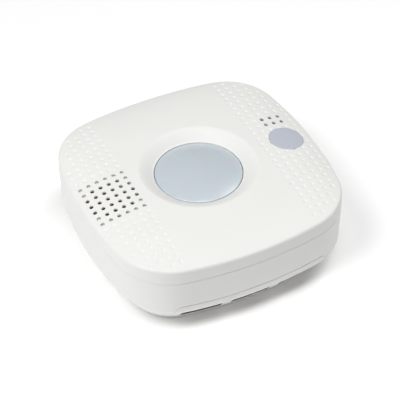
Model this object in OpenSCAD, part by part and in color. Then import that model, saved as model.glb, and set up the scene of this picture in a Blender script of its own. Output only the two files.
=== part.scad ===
// Square-bodied carbon monoxide detector: a crowned front cover and a rear housing around a circuit
// board, a domed test button in a dish, a sounder behind a grille of holes, a gas cell behind a small
// inlet, two cells behind a sliding door, and a wall plate that the whole head twists off.

/* [Outline] */
// Width of the body over its bowed sides, in both directions
body_w = 120; // [119:0.5:121]
// Radius of each bowed side
side_r = 190; // [185:1:200]
// Radius of each rounded corner
corner_r = 28.5; // [28:0.1:29]

/* [Heights] */
// Height that the crown would reach at the middle, if it weren't dished
crown_z = 43.1; // [43:0.1:43.6]
// Height of the joint line between the front cover and the rear housing
parting_z = 31.1; // [30.8:0.1:31.3]
// Height at which the sides turn in towards the wall
bend_z = 12.4; // [12.2:0.1:12.6]
// How far the foot of the body is set in from its sides
foot_inset = 9.4; // [9.2:0.1:9.8]

/* [Walls] */
// Wall thickness of the front cover and the rear housing
wall = 2; // [1.9:0.05:2.1]
// Wall left where the front cover is drilled
grille_wall = 1; // [0.9:0.05:1.1]
// Radius of the rounding between the sides and the crown
edge_r = 2; // [1.8:0.1:2.4]

/* [Test button] */
// Radius of the button
button_r = 20.9; // [20.5:0.1:21]
// Height of the button's rim at rest
button_rim_z = 38.7; // [38.6:0.1:38.9]
// How far the button's dome rises above its rim
button_rise = 3.4; // [3:0.1:3.5]
// How far the button goes in
button_travel = 0.8; // [0.5:0.1:0.8]
// Radius at which the dish around the button starts
dish_r = 27.6; // [27:0.1:28]

/* [Grilles] */
// Spacing of the columns of holes and dimples
pitch_x = 4.3; // [4.2:0.05:4.35]
// Spacing of the rows of holes and dimples
pitch_y = 4.25; // [4.2:0.05:4.3]
// Distance from the middle of the body to the nearest column
first_column = 34.1; // [34:0.1:34.3]
// Radius of each sounder hole
sounder_hole_r = 1; // [0.8:0.05:1.1]
// Radius of each inlet hole
inlet_hole_r = 0.98; // [0.8:0.02:1.1]

/* [Battery door] */
// Half the door's width
door_half_w = 39; // [38.5:0.1:39.2]
// Height of the door's top edge
door_top_z = 15.5; // [15:0.1:16]
// Gap all round the door
door_gap = 0.15; // [0.1:0.05:0.2]

/* [Wall plate] */
// Thickness of the wall plate
plate_t = 2.6; // [2.4:0.1:2.6]
// Distance between the two screw holes
plate_screw_spacing = 60; // [56:1:62]
// Radius of each screw hole
plate_hole_r = 2.3; // [2:0.1:2.5]
// How far the head twists to come off its plate, in degrees
twist = 12; // [10:1:12]

/* [Hidden] */
$fn = 128;

// Outline
half_w = body_w / 2;
side_off = side_r - half_w;
corner_c = (sqrt(2 * pow(side_r - corner_r, 2) - pow(side_off, 2)) - side_off) / 2;
corner_a = atan2(corner_c, corner_c + side_off);
far = 90;

// Skin: the crown bows by these amounts, and the sides have a little draft
bow_2 = 4.18e-4;
bow_6 = 7.3e-11;
edge_a = 72;
bend_inset = 0.6;
least_edge_r = 0.3;
crown_end_d = 27;
side_segments = 8;
corner_segments = 10;
joint_gap = 0.2;

// Rear housing
plate_gap = 0.4;
foot_z = plate_t + plate_gap;
floor_t = 2;
floor_z = foot_z + floor_t;
slope = (foot_inset - bend_inset) / bend_z;
wall_on_slope = wall * sqrt(1 + pow(slope, 2));
pillar_top_z = 25.5;
pillar_r = 4.4;
pillar_at = [[38.5, 38.5], [-38.5, 38.5], [44.5, -24], [-44.5, -24]];
tab_w = 50;

// Screws that hold the two halves
screw_r = 1.5;
screw_head_r = 2.75;
screw_head_h = 2;
screw_bore_r = 3.1;
screw_seat_z = 22.5;
screw_end_z = 34;

// Circuit board and the pieces on it
board_z = 25;
board_t = 1.6;
board_top = board_z + board_t;
board_inset = 5.2;
board_boss_at = [[24, 47], [-24, 47], [49, -12], [-49, -12]];
board_boss_r = 2.4;
board_screw_r = 0.9;
board_screw_head_r = 1.9;
board_screw_head_h = 1.4;
board_screw_end_z = 17.5;
led_r = 1.5;
led_h = 4.4;
led_circle_r = 15;
switch_w = 6;
switch_h = 3.5;
plunger_r = 1.7;
plunger_h = 1.7;
stem_z = board_top + switch_h + 1.05;

// Test button
dome_r = (pow(button_r, 2) + pow(button_rise, 2)) / (2 * button_rise);
dome_z = button_rim_z + button_rise - dome_r;
button_wall = 1.5;
flange_r = button_r + 1.4;
flange_z = 35.8;
flange_h = 1;
stem_r = 3;
running = 0.05;
ledge_z = flange_z + flange_h + 0.1;
dish_floor_z = button_rim_z - 0.4;
aperture_r = button_r + 0.35;
carrier_z = 31.4;
carrier_t = 1.2;
carrier_r = 22.3;
carrier_top = carrier_z + carrier_t;
sleeve_r = 4.8;
spring_r = 6.7;
spring_wire_r = 0.4;
spring_seat_z = 37.6;

// Grilles
columns = 6;
sounder_rows = 3;
sounder_x = -(first_column + (columns - 1) / 2 * pitch_x);
chamber_r = 12.9;
chamber_bore_r = 12.2;
chamber_flange_r = 18.4;
chamber_z = 30;
chamber_flange_z = 36.8;
diaphragm_r = 12.4;
diaphragm_z = 30.7;
diaphragm_t = 0.3;
ceramic_r = 9;
ceramic_t = 0.25;
inlet_columns = [2, 3, 4];
inlet_rows = [3, 4];
inlet_at = [first_column + 3 * pitch_x, 3.5 * pitch_y];
inlet_pad_r = 8.6;
inlet_pad_z = 37.7;
cell_r = 8.4;
cell_z = 27;
cell_h = 9;
window_x = first_column + 3 * pitch_x;
window_r = 8.4;
window_t = 1.6;
window_pad_r = 9.8;
window_pad_z = 38.2;

// Battery bay, door and cells
door_edge_y = -21.15;
door_corner_r = 3;
bay_half_w = 29;
bay_front_y = -50;
bay_back_y = -20;
bay_wall = 1.5;
bay_roof_z = 21.7;
bay_low_z = 10;
battery_r = 7.15;
battery_z = floor_z + 1.7 + battery_r;
battery_y = [-27.4, -42.6];
contact_t = 0.4;
contact_face = bay_half_w - contact_t;
battery_body_l = 49.5;
battery_nub_l = 1;
battery_flat_x = contact_face - battery_nub_l - battery_body_l;
catch_w = 16;
catch_y = -22.8;
catch_top_z = floor_z + 1.3;
rail_x = 36;
rail_y = -31.5;
rail_l = 2.5;
rail_top_z = floor_z + 1.2;
vent_w = 20;
vent_pitch = 24.7;
vent_first_x = -35.2;
vent_low_z = 4.2;
vent_high_z = 9.2;
vent_back_y = -42;
screen_sunk = 0.15;
screen_t = 0.5;
screen_play = 0.05;
pip_at = [-8.2, -1.7, 4.1];
pip_r = 0.7;
pip_z = 3.5;

// Hooks of the wall plate, which hold the head by slots in its floor
hook_at = [0, 60, 120, 180];
hook_r = 40;
post_w = 2;
post_a = 6;
hook_flange_w = 5;
slot_play = 0.3;
hook_flange_z = floor_z + 0.3;
hook_top_z = hook_flange_z + 1.1;

// Height of the crown at distance d in from the edge
function crown(d) = crown_z - bow_2 * pow(half_w - d, 2) - bow_6 * pow(half_w - d, 6);

// How far in the sloping foot is at height z
function foot_in(z) = bend_inset + (bend_z - z) * slope;

// Profile of the cover's skin, t below its outer face, from low_z up
function cover_skin(t, low_z, arc_steps, crown_steps) =
    let (
        r = max(edge_r - t, least_edge_r),
        start_d = t + r * (1 - cos(edge_a)),
        start_z = crown(start_d) - t - r * sin(edge_a)
    )
    concat(
        [[t, low_z]],
        [for (k = [0:arc_steps])
            let (a = edge_a * k / arc_steps)
            [t + r * (1 - cos(a)), start_z + r * sin(a)]],
        [for (k = [1:crown_steps])
            let (d = start_d + (crown_end_d - start_d) * pow(k / crown_steps, 1.4))
            [d, crown(d) - t]]
    );

// Points round the outline, set in by d: each bowed side, then the corner after it
function outline_points(d) = [for (q = [0:90:270]) each concat(
    [for (k = [0:side_segments])
        let (a = corner_a * (2 * k / side_segments - 1), r = side_r - d, x = r * cos(a) - side_off)
        [x * cos(q) - r * sin(a) * sin(q), x * sin(q) + r * sin(a) * cos(q)]],
    [for (k = [1:corner_segments - 1])
        let (
            a = corner_a + (90 - 2 * corner_a) * k / corner_segments,
            x = corner_c + (corner_r - d) * cos(a),
            y = corner_c + (corner_r - d) * sin(a)
        )
        [x * cos(q) - y * sin(q), x * sin(q) + y * cos(q)]]
)];

// Solid of the body's outline for a profile of [distance in from the edge, height] points, going up
module outline_loft(profile) {
    n = 4 * (side_segments + corner_segments);
    levels = len(profile);
    points = [for (p = profile, q = outline_points(p[0])) [q[0], q[1], p[1]]];
    polyhedron(points, concat(
        [[for (k = [0:n - 1]) k]],
        [for (v = [0:levels - 2], k = [0:n - 1])
            let (a = v * n + k, b = v * n + (k + 1) % n)
            [a, a + n, b + n, b]],
        [[for (k = [n - 1:-1:0]) (levels - 1) * n + k]]
    ));
}

// Solid of the body's outline for a profile of [distance in from the edge, height] points that
// starts and ends a corner's radius in: four bowed sides cross, and each corner is turned round
module outline_solid(profile) {
    side = [for (p = profile) [side_r - p[0], p[1]]];
    corner = [for (p = profile) [corner_r - p[0], p[1]]];
    low = profile[0][1];
    high = profile[len(profile) - 1][1];
    difference() {
        intersection_for (a = [0:90:270])
            rotate(a)
                translate([-side_off, 0, 0])
                    rotate_extrude()
                        polygon(concat([[0, low]], side, [[0, high]]));
        for (a = [0:90:270])
            rotate(a)
                corner_wedge(low - 1, high - low + 2);
    }
    for (a = [0:90:270])
        rotate(a)
            translate([corner_c, corner_c, 0])
                rotate_extrude(angle = 90 - 2 * corner_a, start = corner_a)
                    polygon(corner);
}

// The wedge that a rounded corner fills, from the corner's own centre out
module corner_wedge(z, h) {
    translate([corner_c, corner_c, z])
        linear_extrude(h)
            polygon([
                [0, 0],
                [far * cos(corner_a), far * sin(corner_a)],
                [far * sin(corner_a), far * cos(corner_a)]
            ]);
}

// Straight-sided slab of the body's outline, set in by d
module outline_slab(d, z, h) {
    outline_solid([[corner_r, z], [d, z], [d, z + h], [corner_r, z + h]]);
}

module disc(r, z, h) {
    translate([0, 0, z])
        cylinder(r = r, h = h);
}

module tube(outer_r, inner_r, z, h) {
    difference() {
        disc(outer_r, z, h);
        disc(inner_r, z - 1, h + 2);
    }
}

// Part of a ring between two radii and two angles
module ring_sector(r1, r2, a1, a2, z, h) {
    rotate_extrude(angle = a2 - a1, start = a1)
        translate([r1, z])
            square([r2 - r1, h]);
}

module box(low, high) {
    translate(low)
        cube(high - low);
}

// Round wire wound into a spring along +Z, its radius going from r1 to r2
module coil(r1, r2, wire_r, turns, length, steps, sides) {
    rings = turns * steps;
    function centre(k) = let (s = k / rings, r = r1 + (r2 - r1) * s, a = 360 * turns * s)
        [r * cos(a), r * sin(a), length * s];
    function ring(k) = let (a = 360 * turns * k / rings)
        [for (j = [0:sides - 1])
            let (b = 360 * j / sides)
            centre(k) + wire_r * [cos(b) * cos(a), cos(b) * sin(a), sin(b)]];
    points = [for (k = [0:rings]) each ring(k)];
    sides_faces = [for (k = [0:rings - 1], j = [0:sides - 1])
        let (a = k * sides + j, b = k * sides + (j + 1) % sides)
        each [[a, b, b + sides], [a, b + sides, a + sides]]];
    ends = [
        [for (j = [sides - 1:-1:0]) j],
        [for (j = [0:sides - 1]) rings * sides + j]
    ];
    mirror([0, 1, 0])
        polyhedron(points, concat(sides_faces, ends));
}

module mounting_plate() {
    color("gainsboro") {
        difference() {
            outline_loft([[foot_in(0), 0], [foot_in(plate_t), plate_t]]);
            disc(18, -1, plate_t + 2);
            for (s = [-1, 1])
                translate([s * plate_screw_spacing / 2, 0, 0])
                    disc(plate_hole_r, -1, plate_t + 2);
        }
        for (a = hook_at) {
            ring_sector(hook_r - post_w / 2, hook_r + post_w / 2, a - post_a / 2, a + post_a / 2,
                plate_t, hook_top_z - plate_t);
            ring_sector(hook_r - hook_flange_w / 2, hook_r + hook_flange_w / 2,
                a - post_a / 2, a + post_a / 2, hook_flange_z, hook_top_z - hook_flange_z);
        }
    }
}

// The slots that the plate's hooks run in: narrow where they hold, wide where they let go
module hook_slots() {
    play_a = 1;
    for (a = hook_at) {
        ring_sector(hook_r - post_w / 2 - slot_play, hook_r + post_w / 2 + slot_play,
            a - twist - post_a / 2 - play_a, a + post_a / 2 + play_a, foot_z - 1, floor_t + 2);
        ring_sector(hook_r - hook_flange_w / 2 - slot_play, hook_r + hook_flange_w / 2 + slot_play,
            a - twist - post_a / 2 - play_a, a - twist + post_a / 2 + play_a, foot_z - 1, floor_t + 2);
    }
}

// The housing's outer and inner faces
module housing_body() {
    outline_loft([[foot_in(foot_z), foot_z], [bend_inset, bend_z], [0, parting_z - joint_gap]]);
}

module housing_space() {
    inner_bend_z = bend_z + (wall_on_slope - wall) / slope;
    outline_loft([
        [foot_in(floor_z) + wall_on_slope, floor_z], [bend_inset + wall, inner_bend_z],
        [wall, parting_z + 1]
    ]);
}

// The stretch of wall, foot and floor that the door fills, drawn in by g on every edge
module door_zone(g) {
    w = door_half_w - g;
    top = door_top_z - g;
    r = door_corner_r;
    translate([0, door_edge_y - g, 0])
        rotate([90, 0, 0])
            linear_extrude(far)
                union() {
                    translate([-w, -1])
                        square([2 * w, top - r + 1]);
                    translate([-w + r, 0])
                        square([2 * (w - r), top]);
                    for (s = [-1, 1])
                        translate([s * (w - r), top - r])
                            circle(r = r);
                }
}

module battery_bay() {
    outer_w = bay_half_w + bay_wall;
    difference() {
        union() {
            box([-outer_w, bay_front_y - 1.3, bay_low_z], [outer_w, bay_back_y, bay_roof_z + bay_wall]);
            box([-outer_w, bay_back_y, floor_z - 0.5], [outer_w, bay_back_y + bay_wall, bay_roof_z + bay_wall]);
        }
        box([-bay_half_w, bay_front_y, 0], [bay_half_w, bay_back_y, bay_roof_z]);
    }
}

module rear_housing() {
    color("white")
        difference() {
            union() {
                difference() {
                    housing_body();
                    housing_space();
                    door_zone(-door_gap);
                }
                for (p = pillar_at)
                    translate([p[0], p[1], 0])
                        disc(pillar_r, floor_z - 0.5, pillar_top_z - floor_z + 0.5);
                for (p = board_boss_at)
                    translate([p[0], p[1], 0])
                        disc(board_boss_r, floor_z - 0.5, board_z - floor_z + 0.5);
                battery_bay();
                locating_tabs();
            }
            for (p = pillar_at)
                translate([p[0], p[1], 0]) {
                    disc(screw_bore_r, 0, screw_seat_z);
                    disc(screw_r, screw_seat_z - 1, 10);
                }
            for (p = board_boss_at)
                translate([p[0], p[1], 0])
                    disc(board_screw_r, board_screw_end_z - 0.5, 10);
            hook_slots();
            box([-9, bay_back_y - 1, floor_z], [9, bay_back_y + bay_wall + 1, floor_z + 1.7]);
            for (s = [-1, 1], y = battery_y)
                box([s * bay_half_w - 0.45, y - 1.4, bay_roof_z - 1],
                    [s * bay_half_w + 0.45, y + 1.4, bay_roof_z + bay_wall + 1]);
        }
}

// Two upstands that locate the front cover from inside
module locating_tabs() {
    difference() {
        intersection() {
            outline_slab(wall + 0.2, parting_z - 4, 6);
            box([-tab_w / 2, -far, 0], [tab_w / 2, far, far]);
        }
        outline_slab(wall + 1.3, parting_z - 5, 8);
    }
    difference() {
        intersection() {
            outline_slab(1, parting_z - 4, 3);
            box([-tab_w / 2, -far, 0], [tab_w / 2, far, far]);
        }
        outline_slab(wall + 1.3, parting_z - 5, 8);
    }
}

// What stays solid inside the front cover: its screw bosses, pads and the back of the dish
module cover_inner_features() {
    for (p = pillar_at)
        translate([p[0], p[1], 0])
            disc(3.2, pillar_top_z, far);
    translate([inlet_at[0], inlet_at[1], 0])
        disc(inlet_pad_r, inlet_pad_z, far);
    translate([window_x, 0, 0])
        disc(window_pad_r, window_pad_z, far);
    rotate_extrude()
        polygon([[10, ledge_z], [25, ledge_z], [31, crown_z - 2.3], [31, far], [10, far]]);
}

module grille_holes(side, column_list, row_list, r) {
    for (c = column_list, j = row_list)
        translate([side * (first_column + c * pitch_x), j * pitch_y, 0])
            translate([0, 0, parting_z])
                cylinder(r = r, h = 20, $fn = 24);
}

module front_cover() {
    color("white")
        difference() {
            outline_loft(cover_skin(0, parting_z, 5, 6));
            difference() {
                outline_loft(cover_skin(wall, parting_z - 1, 3, 4));
                cover_inner_features();
            }
            // The wall is thinned behind both sets of holes
            intersection() {
                outline_loft(cover_skin(grille_wall, parting_z, 3, 6));
                union() {
                    translate([sounder_x, 0, 0])
                        disc(chamber_flange_r + 0.2, chamber_flange_z - 0.2, far);
                    translate([inlet_at[0], inlet_at[1], 0])
                        disc(6.6, inlet_pad_z - 1, far);
                }
            }
            // The dish, and the opening that the button stands in
            rotate_extrude()
                polygon([
                    [0, dish_floor_z], [aperture_r + 0.6, dish_floor_z], [dish_r, crown(corner_r)],
                    [dish_r, far], [0, far]
                ]);
            disc(aperture_r, ledge_z - 1, 10);
            // The seat of the status window
            translate([window_x, 0, 0])
                disc(window_r - 1.8, window_pad_z - 1, far);
            intersection() {
                translate([window_x, 0, 0])
                    disc(window_r, window_pad_z, far);
                difference() {
                    disc(far, window_pad_z, 20);
                    outline_loft(cover_skin(window_t + 0.1, parting_z - 2, 3, 6));
                }
            }
            for (p = pillar_at)
                translate([p[0], p[1], 0])
                    disc(screw_r, pillar_top_z - 1, screw_end_z + 0.5 - pillar_top_z + 1);
            grille_holes(-1, [0:columns - 1], [-sounder_rows:sounder_rows], sounder_hole_r);
            grille_holes(1, inlet_columns, inlet_rows, inlet_hole_r);
        }
}

module housing_screws() {
    color("silver")
        for (p = pillar_at)
            translate([p[0], p[1], 0])
                difference() {
                    union() {
                        disc(screw_head_r, screw_seat_z - screw_head_h, screw_head_h);
                        disc(screw_r, screw_seat_z - 0.5, screw_end_z - screw_seat_z + 0.5);
                    }
                    for (a = [0, 90])
                        rotate(a)
                            box([-1.6, -0.3, screw_seat_z - screw_head_h - 1],
                                [1.6, 0.3, screw_seat_z - screw_head_h + 1]);
                }
}

module circuit_board() {
    color("seagreen")
        difference() {
            outline_slab(board_inset, board_z, board_t);
            for (p = pillar_at)
                translate([p[0], p[1], 0])
                    disc(pillar_r + 0.5, board_z - 1, board_t + 2);
            for (p = board_boss_at)
                translate([p[0], p[1], 0])
                    disc(board_screw_r + 0.2, board_z - 1, board_t + 2);
        }
}

module board_screws() {
    color("silver")
        for (p = board_boss_at)
            translate([p[0], p[1], 0])
                difference() {
                    union() {
                        disc(board_screw_head_r, board_top, board_screw_head_h);
                        disc(board_screw_r, board_screw_end_z, board_top - board_screw_end_z + 0.5);
                    }
                    for (a = [0, 90])
                        rotate(a)
                            box([-1.1, -0.2, board_top + 0.7], [1.1, 0.2, board_top + 3]);
                }
}

module microcontroller() {
    w = 5;
    color("dimgray")
        translate([-9, 37, 0]) {
            box([-w, -w, board_top + 0.1], [w, w, board_top + 1.3]);
            for (a = [0:90:270], k = [-4:4])
                rotate(a)
                    box([w - 0.2, k - 0.2, board_top], [w + 1, k + 0.2, board_top + 0.4]);
        }
}

module capacitors() {
    color("slategray")
        for (x = [12, 20])
            translate([x, 38, 0]) {
                disc(3, board_top + 0.4, 6.6);
                disc(2.6, board_top, 0.5);
            }
}

module sounder_coil() {
    color("peru")
        translate([-25, 31, 0]) {
            disc(4.2, board_top, 1.2);
            disc(3, board_top + 1, 5);
            disc(4.2, board_top + 5.8, 1.2);
        }
}

module test_switch() {
    color("dimgray")
        difference() {
            box([-switch_w / 2, -switch_w / 2, board_top],
                [switch_w / 2, switch_w / 2, board_top + switch_h]);
            disc(plunger_r + running, board_top + 1.6, switch_h);
        }
}

module test_switch_plunger() {
    color("ivory")
        disc(plunger_r, stem_z - running - plunger_h, plunger_h);
}

module led() {
    disc(led_r + 0.3, board_top, 1);
    disc(led_r, board_top, led_h);
    translate([0, 0, board_top + led_h])
        sphere(r = led_r);
}

module ring_led(a) {
    rotate(a)
        translate([led_circle_r, 0, 0])
            led();
}

module red_led() {
    color("red")
        ring_led(90);
}

module amber_led() {
    color("orange")
        ring_led(210);
}

module green_led() {
    color("limegreen")
        ring_led(330);
}

module status_led() {
    color("lightyellow")
        translate([window_x, -4, 0])
            led();
}

module status_window() {
    color("lightsteelblue")
        intersection() {
            translate([window_x, 0, 0])
                disc(window_r - 0.05, window_pad_z, far);
            difference() {
                outline_loft(cover_skin(0.1, parting_z, 3, 6));
                outline_loft(cover_skin(window_t, parting_z - 2, 3, 6));
            }
        }
}

module button_carrier() {
    color("whitesmoke")
        difference() {
            union() {
                disc(carrier_r, carrier_z, carrier_t);
                disc(sleeve_r, carrier_z, carrier_t + 2);
                for (a = [30, 150, 270])
                    rotate(a)
                        translate([20, 0, 0])
                            disc(2.2, board_top, carrier_z - board_top + 0.5);
            }
            disc(stem_r + running, carrier_z - 1, 10);
            for (a = [90, 210, 330])
                rotate(a)
                    translate([led_circle_r, 0, 0])
                        disc(led_r + 0.3, carrier_z - 1, 10);
        }
}

module light_guide() {
    color("azure")
        tube(18.2, 12.2, carrier_top, 1.6);
}

module button_spring() {
    seat_low = carrier_top + spring_wire_r + 0.05;
    seat_high = spring_seat_z - spring_wire_r - 0.05;
    color("silver")
        translate([0, 0, seat_low])
            coil(spring_r, spring_r, spring_wire_r, 3, seat_high - seat_low, 24, 8);
}

module button_dome(r) {
    translate([0, 0, dome_z])
        sphere(r = r);
}

module test_button() {
    color("lightsteelblue") {
        difference() {
            union() {
                intersection() {
                    button_dome(dome_r);
                    disc(button_r, flange_z, 20);
                }
                disc(flange_r, flange_z, flange_h);
            }
            intersection() {
                button_dome(dome_r - button_wall);
                disc(button_r - 1.6, flange_z - 1, 20);
            }
        }
        intersection() {
            button_dome(dome_r - button_wall / 2);
            union() {
                disc(stem_r, stem_z, 20);
                tube(8.2, 5.2, spring_seat_z, 10);
            }
        }
    }
}

module sounder_chamber() {
    under_cover = grille_wall + 0.3;
    color("gainsboro")
        difference() {
            intersection() {
                outline_loft(cover_skin(under_cover, chamber_z, 3, 6));
                translate([sounder_x, 0, 0])
                    union() {
                        disc(chamber_flange_r, chamber_flange_z, 10);
                        disc(chamber_r, chamber_z, 20);
                    }
            }
            difference() {
                outline_loft(cover_skin(under_cover + 1.2, chamber_z - 2, 3, 6));
                translate([sounder_x, 0, 0])
                    disc(chamber_r, chamber_z - 3, 20);
            }
            translate([sounder_x, 0, 0]) {
                disc(chamber_bore_r, chamber_z - 1, 20);
                disc(diaphragm_r + 0.02, chamber_z - 1, diaphragm_z + diaphragm_t - chamber_z + 1);
            }
        }
}

module sounder_diaphragm() {
    color("goldenrod")
        translate([sounder_x, 0, 0])
            disc(diaphragm_r, diaphragm_z, diaphragm_t);
}

module sounder_ceramic() {
    color("whitesmoke")
        translate([sounder_x, 0, 0])
            disc(ceramic_r, diaphragm_z - ceramic_t, ceramic_t);
}

module sounder_contacts() {
    color("gold")
        translate([sounder_x, 0, 0]) {
            translate([4, 0, 0])
                disc(0.7, board_top, diaphragm_z - ceramic_t - board_top);
            translate([10.7, 0, 0])
                disc(0.7, board_top, diaphragm_z - board_top);
        }
}

module co_cell() {
    color("darkgray")
        translate([inlet_at[0], inlet_at[1], 0])
            difference() {
                union() {
                    disc(cell_r, cell_z, cell_h);
                    for (a = [0, 120, 240])
                        rotate(a)
                            translate([-5, 0, 0])
                                disc(0.6, board_top, cell_z - board_top + 0.5);
                }
                disc(2, cell_z + cell_h - 1, 2);
            }
}

module cell_gasket() {
    color("dimgray")
        translate([inlet_at[0], inlet_at[1], 0])
            tube(7.8, 5, cell_z + cell_h, 1.3);
}

module inlet_filter() {
    color("white")
        translate([inlet_at[0], inlet_at[1], 0])
            disc(7.6, cell_z + cell_h + 1.3, inlet_pad_z - cell_z - cell_h - 1.3);
}

// A cell lying along X, its raised end towards +X
module battery(y) {
    translate([0, y, battery_z])
        rotate([0, 90, 0]) {
            disc(battery_r, battery_flat_x, battery_body_l);
            disc(2.75, battery_flat_x + 1, battery_body_l - 1 + battery_nub_l);
        }
}

module battery_a() {
    color("darkslategray")
        battery(battery_y[0]);
}

module battery_b() {
    color("darkslategray")
        mirror([1, 0, 0])
            battery(battery_y[1]);
}

module contact_plates() {
    color("silver")
        for (s = [-1, 1], y = battery_y)
            mirror([s < 0 ? 1 : 0, 0, 0]) {
                box([contact_face, y - 4.5, 7], [bay_half_w, y + 4.5, 18.5]);
                box([contact_face, y - 1.2, 18], [bay_half_w, y + 1.2, board_z]);
            }
}

module contact_springs() {
    gap = contact_face + battery_flat_x;
    color("silver")
        for (k = [0, 1])
            mirror([k, 0, 0])
                translate([battery_flat_x, battery_y[k], battery_z])
                    rotate([0, -90, 0])
                        translate([0, 0, 0.4])
                            coil(2.2, 4, 0.35, 3, gap - 0.8, 16, 6);
}

module battery_door() {
    color("white") {
        difference() {
            intersection() {
                difference() {
                    housing_body();
                    housing_space();
                }
                door_zone(door_gap);
            }
            for (k = [0:2])
                box([vent_first_x + k * vent_pitch, -far, vent_low_z],
                    [vent_first_x + k * vent_pitch + vent_w, vent_back_y, vent_high_z]);
        }
        // The catch and the two rails that run on top of the housing's floor
        box([-catch_w / 2, catch_y, floor_z - 0.5], [catch_w / 2, catch_y + 1.2, catch_top_z]);
        box([-catch_w / 2, catch_y, floor_z + 0.15], [catch_w / 2, catch_y + 3.8, catch_top_z]);
        for (s = [-1, 1])
            mirror([s < 0 ? 1 : 0, 0, 0]) {
                box([rail_x, rail_y, floor_z - 0.5], [rail_x + 2, rail_y + rail_l, rail_top_z]);
                box([rail_x, rail_y, floor_z + 0.2], [rail_x + 4.6, rail_y + rail_l, rail_top_z]);
            }
        // Three small pips under the middle vent, to grip when the door is slid off
        for (x = pip_at)
            translate([x, side_off - sqrt(pow(side_r - foot_in(pip_z), 2) - x * x), pip_z])
                sphere(r = pip_r);
    }
}

// Woven screens set into the door's three vents, just under its outer face
module vent_screen() {
    low = vent_low_z + screen_play;
    high = vent_high_z - screen_play;
    back = screen_sunk + screen_t;
    color("dimgray")
        intersection() {
            difference() {
                outline_loft([[foot_in(low) + screen_sunk, low], [foot_in(high) + screen_sunk, high]]);
                outline_loft([[foot_in(low - 1) + back, low - 1], [foot_in(high + 1) + back, high + 1]]);
            }
            for (k = [0:2])
                box([vent_first_x + k * vent_pitch + screen_play, -far, 0],
                    [vent_first_x + k * vent_pitch + vent_w - screen_play, -40, 20]);
        }
}

mounting_plate();
rear_housing();
front_cover();
housing_screws();
circuit_board();
board_screws();
microcontroller();
capacitors();
sounder_coil();
test_switch();
test_switch_plunger();
red_led();
amber_led();
green_led();
status_led();
status_window();
button_carrier();
light_guide();
button_spring();
test_button();
sounder_chamber();
sounder_diaphragm();
sounder_ceramic();
sounder_contacts();
co_cell();
cell_gasket();
inlet_filter();
battery_a();
battery_b();
contact_plates();
contact_springs();
battery_door();
vent_screen();
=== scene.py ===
"""Carbon monoxide detector: its moulded shells, lens, window and door, and the stage."""

import math

import bmesh
import bpy
import numpy as np
from mathutils import Matrix, Vector
from mathutils.geometry import delaunay_2d_cdt


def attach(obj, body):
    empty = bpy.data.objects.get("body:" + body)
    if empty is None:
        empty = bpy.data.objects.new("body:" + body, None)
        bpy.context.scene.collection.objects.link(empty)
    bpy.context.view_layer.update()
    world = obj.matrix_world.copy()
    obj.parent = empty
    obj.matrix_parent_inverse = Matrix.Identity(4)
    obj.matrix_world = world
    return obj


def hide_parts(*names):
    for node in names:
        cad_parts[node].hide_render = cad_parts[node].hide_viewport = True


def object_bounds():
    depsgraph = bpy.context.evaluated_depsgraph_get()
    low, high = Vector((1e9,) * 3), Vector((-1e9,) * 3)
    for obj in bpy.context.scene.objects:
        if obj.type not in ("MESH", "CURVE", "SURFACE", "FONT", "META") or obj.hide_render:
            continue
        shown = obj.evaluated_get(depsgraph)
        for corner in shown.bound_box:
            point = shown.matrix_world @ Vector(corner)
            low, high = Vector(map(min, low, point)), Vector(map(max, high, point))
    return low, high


bl_info = {
    "name": "Carbon Monoxide Detector",
    "version": (1, 0, 0),
    "blender": (4, 5, 0),
    "location": "3D Viewport > Sidebar > Detector",
    "description": "Builds the moulded shells, lens, window and door of a carbon monoxide detector",
    "category": "Object",
}

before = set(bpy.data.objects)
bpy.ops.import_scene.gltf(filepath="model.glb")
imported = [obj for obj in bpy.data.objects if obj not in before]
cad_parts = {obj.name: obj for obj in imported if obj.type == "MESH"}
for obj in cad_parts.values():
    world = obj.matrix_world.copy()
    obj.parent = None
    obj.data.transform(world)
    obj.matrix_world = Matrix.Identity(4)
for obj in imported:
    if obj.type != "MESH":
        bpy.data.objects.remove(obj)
CAD_BOX = [[float(v) for v in corner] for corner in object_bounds()]

MM = 0.001

# The body's outline in mm: four bowed sides, each running into round corners without a break
HALF_WIDTH = 60.0
SIDE_RADIUS = 190.0
CORNER_RADIUS = 28.5
SIDE_OFFSET = SIDE_RADIUS - HALF_WIDTH
CORNER_CENTRE = (math.sqrt(2 * (SIDE_RADIUS - CORNER_RADIUS) ** 2 - SIDE_OFFSET**2) - SIDE_OFFSET) / 2
SWITCH = math.atan2(CORNER_CENTRE, CORNER_CENTRE + SIDE_OFFSET)
SIDE_STEPS = 16
CORNER_STEPS = 20
QUARTER = SIDE_STEPS + CORNER_STEPS
CORNER_SWEEP = math.pi / 2 - 2 * SWITCH

# Heights in mm: joint line, where the wall turns in, and the housing's underside
PARTING = 31.1
JOINT_GAP = 0.12
BEND = 12.4
BEND_INSET = 0.6
FOOT_SLOPE = 0.7097
UNDERSIDE = 3.0
CROWN = 43.1
BOW_2 = 4.18e-4
BOW_6 = 7.3e-11

# Dish and the opening that the button stands in
DISH_OUTER = 28.6
DISH_INNER = 21.7
DISH_FLOOR = 38.8
APERTURE = 21.25
LEDGE = 36.9

# Lattice of holes and dimples
PITCH_X = 4.3
PITCH_Y = 4.25
FIRST_COLUMN = 34.1
ROWS = (12, 12, 11, 11, 9, 6)
HOLE_RADIUS = 1.0
WINDOW_X = 47.0
WINDOW_RADIUS = 8.4
SOUNDER = (-44.85, 0.0)

# Light of the white room, then (name, azimuth, elevation, width in metres, watts) of each soft light
ROOM_LIGHT = 0.06
FLOOR_GLOW = 0.14
SOFT_LIGHTS = (
    ("front_light", 0, 78, 0.5, 3.6),
    ("left_light", -78, 58, 0.5, 5.6),
    ("low_left_light", -100, 15, 0.5, 1.7),
    ("right_light", 90, 55, 0.5, 3.4),
)

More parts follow.
